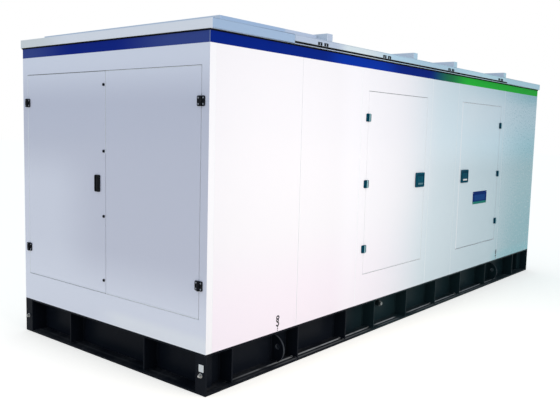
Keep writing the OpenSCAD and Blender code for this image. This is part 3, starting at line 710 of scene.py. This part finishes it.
# Painted cool light cast and painted highlights on the fittings of the front side.
out = less(tree, times(tree, at["Y"], -1.0), side_y)
teal = mixed(tree, between(tree, out, 0.0065, 0.009), TEAL_CAST_DEEP, TEAL_CAST)
teal = mixed(tree, times(tree, between(tree, out, 0.0115, 0.0155), 0.75), teal, TEAL_HIGHLIGHT)
side = times(tree, between(tree, at["X"], -1.6, -1.2), between(tree, out, -0.01, -0.003))
tree.links.new(mixed(tree, side, black, teal), shader.inputs["Base Color"])
tree.links.new(times(tree, less(tree, 1.0, side), 0.12), shader.inputs["Coat Weight"])
shader.inputs["Coat Roughness"].default_value = 0.2
shader.inputs["Specular IOR Level"].default_value = 0.01
bumped(tree, shader, coat["Peel"], 0.18, 0.0004)
soften(["hinge_fixed_halves", "front_door_1_fittings", "front_door_2_fittings", "end_door_left_fittings",
        "end_door_right_fittings", "back_door_fittings", "far_door_fittings"], fitting_black, width=0.0008)

dark_zinc, tree, shader, coat = coated("dark_zinc_screws", (0.2, 0.21, 0.24), (0.36, 0.37, 0.4),
                                       peel=700.0, cloud=40.0, rough=0.4, spread=0.2)
shader.inputs["Metallic"].default_value = 0.7
SCREW = [(0, 0), (0.0052, 0), (0.005, 0.0007), (0.0036, 0.0012), (0.0017, 0.0013), (0.0015, 0.0004),
         (0, 0.0003)]
HINGE_T, SCREW_OUT, SCREW_RISE = 0.006, 0.0185, 0.0168
side_hinge_z = side_leaf_z + side_leaf_h * np.array([0.14, 0.5, 0.86])
end_hinge_z = end_leaf_z + end_leaf_h * np.array([0.135, 0.865])
front_face, end_face = -side_y - HINGE_T, -end_x - HINGE_T
door_1_pin = DOOR_1_OPEN + SIDE_GAP / 2 - end_x
door_2_pin = DOOR_2_OPEN + OPEN_W - SIDE_GAP / 2 - end_x
end_pin = side_y - POST_W - GAP / 2
hinges = {
    "front_door_1_body": ((door_1_pin, front_face), (1, 0), FRONT_OUT, side_hinge_z),
    "front_door_2_body": ((door_2_pin, front_face), (-1, 0), FRONT_OUT, side_hinge_z),
    "end_door_left_body": ((end_face, end_pin), (0, -1), END_OUT, end_hinge_z),
    "end_door_right_body": ((end_face, -end_pin), (0, 1), END_OUT, end_hinge_z),
}
side_screws, end_screws = [], []
for body, (pin, towards_leaf, out, heights) in hinges.items():
    leaf_screws = []
    frame_screws = end_screws if "end" in body else side_screws
    for z in heights:
        for rise in (-SCREW_RISE, SCREW_RISE):
            at = np.array([*pin, z + rise])
            step = np.array([*towards_leaf, 0]) * SCREW_OUT
            leaf_screws.append(turned(SCREW, at + step, out, 16))
            frame_screws.append(turned(SCREW, at - step, out, 16))
    finish = dark_zinc if "end" in body else fitting_black
    add_piece(body.replace("body", "screws"), gathered(leaf_screws), body, finish)
add_piece("side_hinge_frame_screws", gathered(side_screws), "enclosure", fitting_black)
add_piece("end_hinge_frame_screws", gathered(end_screws), "enclosure", dark_zinc)

CYLINDER = [(0, 0), (0.0065, 0), (0.0065, 0.0022), (0.006, 0.0028), (0.005, 0.0029), (0.0046, 0.0022),
            (0.001, 0.0022), (0, 0.0021)]
LATCH_1_IN, LATCH_2_IN, LATCH_T = 0.079, 0.106, 0.009
LIP_W, LIP_H, LIP_ROUND, LIP_T, LIP_DROP, KEY_RISE = 0.08, 0.014, 0.004, 0.004, 0.031, 0.01
latch_z = side_leaf_z + side_leaf_h / 2
# The second latch's lip is white, a painted highlight.
latches = {"front_door_1_body": (DOOR_1_OPEN + OPEN_W - SIDE_GAP - LATCH_1_IN, fitting_black),
           "front_door_2_body": (DOOR_2_OPEN + SIDE_GAP + LATCH_2_IN, blank_white)}
for body, (s, finish) in latches.items():
    paddle = np.array([s - end_x, -side_y - LATCH_T, latch_z])
    lip = face_plate(rounded_outline(LIP_W, LIP_H, LIP_ROUND), paddle - [0, 0, LIP_DROP],
                     (1, 0, 0), (0, 0, 1), LIP_T)
    key = turned(CYLINDER, paddle + [0, 0, KEY_RISE], FRONT_OUT)
    add_piece(body.replace("body", "latch_lip"), lip, body, finish, smooth=False)
    add_piece(body.replace("body", "key_cylinder"), key, body, fitting_black)

# Sign plate on the second door: a bare enamelled plate, blue with a paler field and a green foot, held
# by four rivets.
SIGN_S, SIGN_Z, SIGN_W, SIGN_H, SIGN_ROUND, SIGN_T = 3.607, 0.903, 0.318, 0.118, 0.008, 0.0016
SIGN_DEEP, SIGN_BLUE = (0.001, 0.024, 0.15), (0.002, 0.032, 0.19)
SIGN_FIELD, SIGN_FOOT = (0.012, 0.09, 0.3), (0.02, 0.25, 0.19)
sign_centre = np.array([SIGN_S - end_x, -side_y, SIGN_Z])
blue_enamel, tree, shader = new_material("sign_blue_enamel")
at = own_place(tree)
coat = sprayed_on(tree, shader, peel=400.0, cloud=12.0, rough=0.25, spread=0.12)
blue = mixed(tree, coat["Cloud"], SIGN_DEEP, SIGN_BLUE)
rise = less(tree, at["Z"], SIGN_Z)
aside = absolute(tree, less(tree, at["X"], SIGN_S - end_x))
field = times(tree, between(tree, absolute(tree, rise), 0.03, 0.022), between(tree, aside, 0.13, 0.115))
blue = mixed(tree, times(tree, field, 0.6), blue, SIGN_FIELD)
foot = between(tree, rise, -SIGN_H * 0.26, -SIGN_H * 0.36)
tree.links.new(mixed(tree, foot, blue, SIGN_FOOT), shader.inputs["Base Color"])
shader.inputs["Specular IOR Level"].default_value = 0.005
sign = face_plate(rounded_outline(SIGN_W, SIGN_H, SIGN_ROUND), sign_centre, (1, 0, 0), (0, 0, 1), SIGN_T)
add_piece("sign_plate", sign, "front_door_2_body", blue_enamel, smooth=False)
RIVET = [(0, 0), (0.0042, 0), (0.0039, 0.0009), (0.0026, 0.0017), (0.001, 0.002), (0, 0.0021)]
RIVET_IN = 0.012
rivets = []
for sx in (-1, 1):
    for sz in (-1, 1):
        spot = sign_centre + [sx * (SIGN_W / 2 - RIVET_IN), -SIGN_T, sz * (SIGN_H / 2 - RIVET_IN)]
        rivets.append(turned(RIVET, spot, FRONT_OUT, 16))
add_piece("sign_rivets", gathered(rivets), "front_door_2_body", plated)

# Coloured rail: a folded strip over the panels, blue at the near end and green past the first door, with a
# painted highlight in the blue; its end faces are a painted lit copy, with painted sheen towards the sides
# and a painted highlight at the front corner.
BLUE, BLUE_HIGHLIGHT, RAIL_CLOUD = (0.002, 0.015, 0.205), (0.002, 0.032, 0.36), (0.05, 0.16, 0.3)
TURN, GREEN = (0.018, 0.19, 0.07), (0.025, 0.57, 0.045)
END_LIT_BLUE, END_SHEEN, END_EDGE_HIGHLIGHT = (0.007, 0.022, 0.25), (0.05, 0.078, 0.29), (0.28, 0.34, 0.5)
rail_paint, tree, shader = new_material("rail_blue_green")
at = own_place(tree)
coat = sprayed_on(tree, shader, peel=260.0, cloud=3.0, rough=0.24, spread=0.1)
# Painted highlight: a brighter band in the blue.
highlight_band = window(tree, at["X"], -1.5, -1.25, -0.75, -0.45)
colour = mixed(tree, times(tree, highlight_band, 0.85), BLUE, BLUE_HIGHLIGHT)
colour = mixed(tree, between(tree, at["X"], -0.05, 0.37), colour, TURN)
colour = mixed(tree, between(tree, at["X"], 0.33, 0.74), colour, GREEN)
# Painted lit copy on the end faces, with painted sheen towards the sides and a painted highlight at the
# front corner.
aside = absolute(tree, less(tree, at["Y"], 0.12))
end_lit = mixed(tree, between(tree, aside, 0.2, 0.75), END_LIT_BLUE, END_SHEEN)
end_lit = mixed(tree, between(tree, at["Y"], -side_y + 0.006, -side_y + 0.003), end_lit, END_EDGE_HIGHLIGHT)
colour = mixed(tree, between(tree, own_facing(tree)["X"], -0.3, -0.8), colour, end_lit)
colour = mixed(tree, times(tree, coat["Cloud"], 0.03), colour, RAIL_CLOUD)
tree.links.new(colour, shader.inputs["Base Color"])
shader.inputs["Specular IOR Level"].default_value = 0.01
soften(["top_rail_front", "top_rail_back", "top_rail_ends"], rail_paint)

# Roof: folded steel trays in pale blue grey, with a fascia, ribs over the joints, a raised cover over
# the first bay and eave covers above a drip slot. The near end fascia and the long faces take painted light
# and shade: the end fascia pale, warmer to its left, and the long faces blue grey, darker at the near end,
# painted lit past the first bay and fading to a pale painted cool cast at the far end.
TRAY, FASCIA, FASCIA_LEFT = (0.66, 0.73, 0.8), (0.965, 0.965, 0.985), (0.87, 0.885, 0.845)
EAVE_NEAR, EAVE_START, EAVE_LIT = (0.31, 0.43, 0.6), (0.43, 0.5, 0.62), (0.63, 0.715, 0.745)
EAVE_BLUE, EAVE_FAR = (0.43, 0.62, 0.745), (0.6, 0.88, 0.94)
ROOF_CLOUD, ROOF_DUST = (0.4, 0.47, 0.56), (0.42, 0.4, 0.37)
roof_paint, tree, shader = new_material("roof_pale_grey")
at = own_place(tree)
coat = sprayed_on(tree, shader, peel=240.0, cloud=2.0, rough=0.3, spread=0.15)
dust = place_group(tree, dusted, Reach=0.01, Grain_Scale=40.0, Ledges=0.7)
# Painted light and shade on the long faces: dark at the near end, lit past the first bay, then blue and a
# pale cool cast towards the far end.
eave = mixed(tree, between(tree, at["X"], -1.83, -1.81), EAVE_NEAR, EAVE_START)
eave = mixed(tree, between(tree, at["X"], -1.4, -1.24), eave, EAVE_LIT)
eave = mixed(tree, between(tree, at["X"], -1.0, -0.6), eave, EAVE_BLUE)
eave = mixed(tree, between(tree, at["X"], -0.1, 1.0), eave, EAVE_FAR)
# Painted light on the near end fascia, warmer to its left.
fascia = mixed(tree, between(tree, at["Y"], 0.35, 0.75), FASCIA, FASCIA_LEFT)
tray = mixed(tree, between(tree, at["X"], -end_x + 0.03, -end_x + 0.01), TRAY, fascia)
broad = between(tree, absolute(tree, own_facing(tree)["Y"]), 0.4, 0.8)
pale = mixed(tree, broad, tray, eave)
pale = mixed(tree, times(tree, coat["Cloud"], 0.1), pale, ROOF_CLOUD)
pale = mixed(tree, times(tree, dust["Dust"], 0.3), pale, ROOF_DUST)
tree.links.new(pale, shader.inputs["Base Color"])
bumped(tree, shader, coat["Peel"], 0.06, 0.0006)
soften(["roof_shell", "roof_ribs", "roof_raised_cover", "eave_covers"], roof_paint, width=0.003, segments=3)

# Painted shade under the roof: a black strip between rail and roof on all four sides stands in for
# the shadow line under the overhang, and a black rubber strip set back in the drip slot under each eave
# cover stands in for the shade inside it.
ROOF_Z, OVERHANG, EAVE_PROUD = 2.0, 0.02, 0.003
EAVE_FROM, EAVE_TO, EAVE_LIP, EAVE_SLOT, SLOT_CLEAR = 0.69, 4.078, 0.004, 0.012, 0.0004
SHADOW_STRIP = [[-0.002, -0.008], [0.003, -0.008], [0.005, -0.006], [0.005, -0.0005], [-0.002, -0.0005]]
corner_signs = np.array([[1, -1, 0], [-1, -1, 0], [-1, 1, 0], [1, 1, 0]], float)
ring = corner_signs * [end_x, side_y, 0] + [0, 0, ROOF_Z]
add_piece("roof_shadow_strip", carried(SHADOW_STRIP, ring, corner_signs, (0, 0, 1), closed=True), "enclosure",
          rubber, smooth=False)
SLOT = [[-0.012, SLOT_CLEAR], [-0.005, SLOT_CLEAR], [-0.003, EAVE_SLOT / 2],
        [-0.005, EAVE_SLOT - SLOT_CLEAR], [-0.012, EAVE_SLOT - SLOT_CLEAR]]
strips = []
for side in (-1, 1):
    path = np.array([[EAVE_TO, 0, 0], [EAVE_FROM, 0, 0]])[::-side] - [end_x, 0, 0]
    path = path + [0, side * (side_y + OVERHANG), ROOF_Z + EAVE_LIP]
    strips.append(carried(SLOT, path, (0, side, 0), (0, 0, 1)))
add_piece("eave_slot_shade_strips", gathered(strips), "enclosure", rubber, smooth=False)

# Drip clips: four pairs of black plastic clips pushed over the lower edge of each eave cover, each a bar
# with two teeth.
clip_black, tree, shader, coat = coated("clip_black_plastic", (0.006, 0.007, 0.009), (0.014, 0.016, 0.019),
                                        peel=700.0, cloud=30.0, rough=0.5, spread=0.2)
shader.inputs["Specular IOR Level"].default_value = 0.03
CLIP_AT, CLIP_Z, CLIP_STEP = (0.973, 1.759, 2.811, 3.896), 2.0265, 0.066
BAR_RISE, BAR_T, TOOTH_DROP, TOOTH_T, TOOTH_STEP = 0.0075, 0.002, 0.003, 0.003, 0.026
bar = rounded_outline(0.046, 0.005, 0.002)
tooth = rounded_outline(0.016, 0.014, 0.003)
clips = []
for side in (-1, 1):
    across, up = (-side, 0, 0), (0, 0, 1)
    for s in CLIP_AT:
        for step in (-0.5, 0.5):
            clip = np.array([s - end_x + step * CLIP_STEP, side * (side_y + OVERHANG + EAVE_PROUD), CLIP_Z])
            clips.append(face_plate(bar, clip + [0, 0, BAR_RISE], across, up, BAR_T))
            for aside in (-0.5, 0.5):
                root = clip + [aside * TOOTH_STEP, 0, -TOOTH_DROP]
                clips.append(face_plate(tooth, root, across, up, TOOTH_T))
add_piece("eave_drip_clips", gathered(clips), "enclosure", clip_black, smooth=False)

# Lifting marks: a plain outline of chain and hook in black film over each lifting lug.
MARK_X, MARK_Z = np.array([0.618, 4.091]) - end_x, 0.262
STROKE = [[0.0043, 0], [0.0043, 0.0004], [-0.0043, 0.0004], [-0.0043, 0]]
DASH, DASHES_Z = 0.006, (0.005, -0.006, -0.017)


def arc(centre, radius, start, stop, steps=20):
    """Points of a circle (or oval) arc from start to stop, in degrees."""
    a = np.radians(np.linspace(start, stop, steps))
    return np.asarray(centre) + np.asarray(radius) * np.stack([np.cos(a), np.sin(a)], -1)


links = [arc((0.001, 0.067), (0.0115, 0.0095), 0, 345), arc((-0.001, 0.0485), (0.0085, 0.009), 0, 345)]
shank = [[0.001, 0.0395], [0.001, 0.037]]
hook = np.concatenate([shank, arc((-0.001, 0.0255), (0.0115, 0.0105), 70, -165)])
dashes = [np.array([[0.001, z + DASH], [0.001, z]]) for z in DASHES_Z]
marks = []
for side in (-1, 1):
    for x in MARK_X:
        centre = (x, side * side_y, MARK_Z)
        for loop in links:
            marks.append(strip_on_wall(loop, centre, (-side, 0, 0), STROKE))
        for line in [hook] + dashes:
            marks.append(strip_on_wall(line, centre, (-side, 0, 0), STROKE, closed=False))
add_piece("lifting_marks", gathered(marks), "enclosure", clip_black, smooth=False)

# Studio: a pale floor that keeps the shadow, an even cool sky, a soft key from the long side, and the
# camera at the photograph's place.
FLOOR_HALF, FLOOR_DROP = 60, 0.0005
floor_pale, tree, shader = new_material("studio_floor")
shader.inputs["Base Color"].default_value = (0.9, 0.83, 0.71, 1)
shader.inputs["Roughness"].default_value = 1.0
shader.inputs["Specular IOR Level"].default_value = 0.0
ray = add_node(tree, "ShaderNodeLightPath").outputs
seen = math_node(tree, "MAXIMUM", ray["Is Camera Ray"], ray["Is Glossy Ray"])
shader.inputs["Emission Color"].default_value = (0.5, 0.5, 0.5, 1)
tree.links.new(seen, shader.inputs["Emission Strength"])
floor_mesh = bpy.data.meshes.new("studio_floor")
floor_corners = corner_signs[::-1] * FLOOR_HALF - [0, 0, FLOOR_DROP]
floor_mesh.from_pydata(floor_corners.tolist(), [], [(0, 1, 2, 3)])
floor_mesh.materials.append(floor_pale)
floor = bpy.data.objects.new("studio_floor", floor_mesh)
bpy.context.scene.collection.objects.link(floor)
floor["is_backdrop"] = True

SKY, BACKDROP = (0.54, 0.625, 0.74), (1, 1, 1)
world = bpy.data.worlds.new("studio_sky")
bpy.context.scene.world = world
world.use_nodes = True
tree = world.node_tree
ray = add_node(tree, "ShaderNodeLightPath").outputs
seen = math_node(tree, "MAXIMUM", ray["Is Camera Ray"], ray["Is Transmission Ray"])
background = tree.nodes["Background"]
tree.links.new(mixed(tree, seen, SKY, BACKDROP), background.inputs["Color"])
background.inputs["Strength"].default_value = 1.0
SOFTBOX_W, SOFTBOX_H = 3.2, 2.4


def softbox(name, place, target, power, colour, spread):
    """A rectangular lamp at place, turned to target, its beam narrowed to spread degrees."""
    lamp = bpy.data.lights.new(name, "AREA")
    lamp.shape = "RECTANGLE"
    lamp.size, lamp.size_y = SOFTBOX_W, SOFTBOX_H
    lamp.energy = power
    lamp.color = colour
    lamp.spread = math.radians(spread)
    holder = bpy.data.objects.new(name, lamp)
    holder.location = place
    holder.rotation_euler = (Vector(target) - Vector(place)).to_track_quat("-Z", "Y").to_euler()
    bpy.context.scene.collection.objects.link(holder)


softbox("key_long_side", (-1.75, -4.6, 2.3), (-1.75, -0.9, 1.25), 25, (1.0, 0.915, 0.85), 80)
softbox("fill_near_end", (-8.0, 0.6, 1.9), (-2.5, 0.0, 1.5), 26, (0.86, 0.87, 1.0), 180)

CAMERA_AT, SENSOR, FOCAL, CLIP_END = (-5.0528, -3.4959, 1.47), 36, 43.384, 200
AIM, TILT, ROLL = math.radians(39.237), math.radians(-6.043), math.radians(1.492)
ahead = Vector((math.cos(TILT) * math.cos(AIM), math.cos(TILT) * math.sin(AIM), math.sin(TILT)))
level = ahead.cross(Vector((0, 0, 1))).normalized()
upright = level.cross(ahead)
right = math.cos(ROLL) * level + math.sin(ROLL) * upright
above = -math.sin(ROLL) * level + math.cos(ROLL) * upright
lens = bpy.data.cameras.new("photo_camera")
lens.sensor_width = SENSOR
lens.lens = FOCAL
lens.clip_end = CLIP_END
camera = bpy.data.objects.new("photo_camera", lens)
camera.matrix_world = Matrix((
    (right.x, above.x, -ahead.x, CAMERA_AT[0]), (right.y, above.y, -ahead.y, CAMERA_AT[1]),
    (right.z, above.z, -ahead.z, CAMERA_AT[2]), (0, 0, 0, 1)))
bpy.context.scene.collection.objects.link(camera)
bpy.context.scene.camera = camera
bpy.context.scene.view_settings.view_transform = "Standard"

low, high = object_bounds()
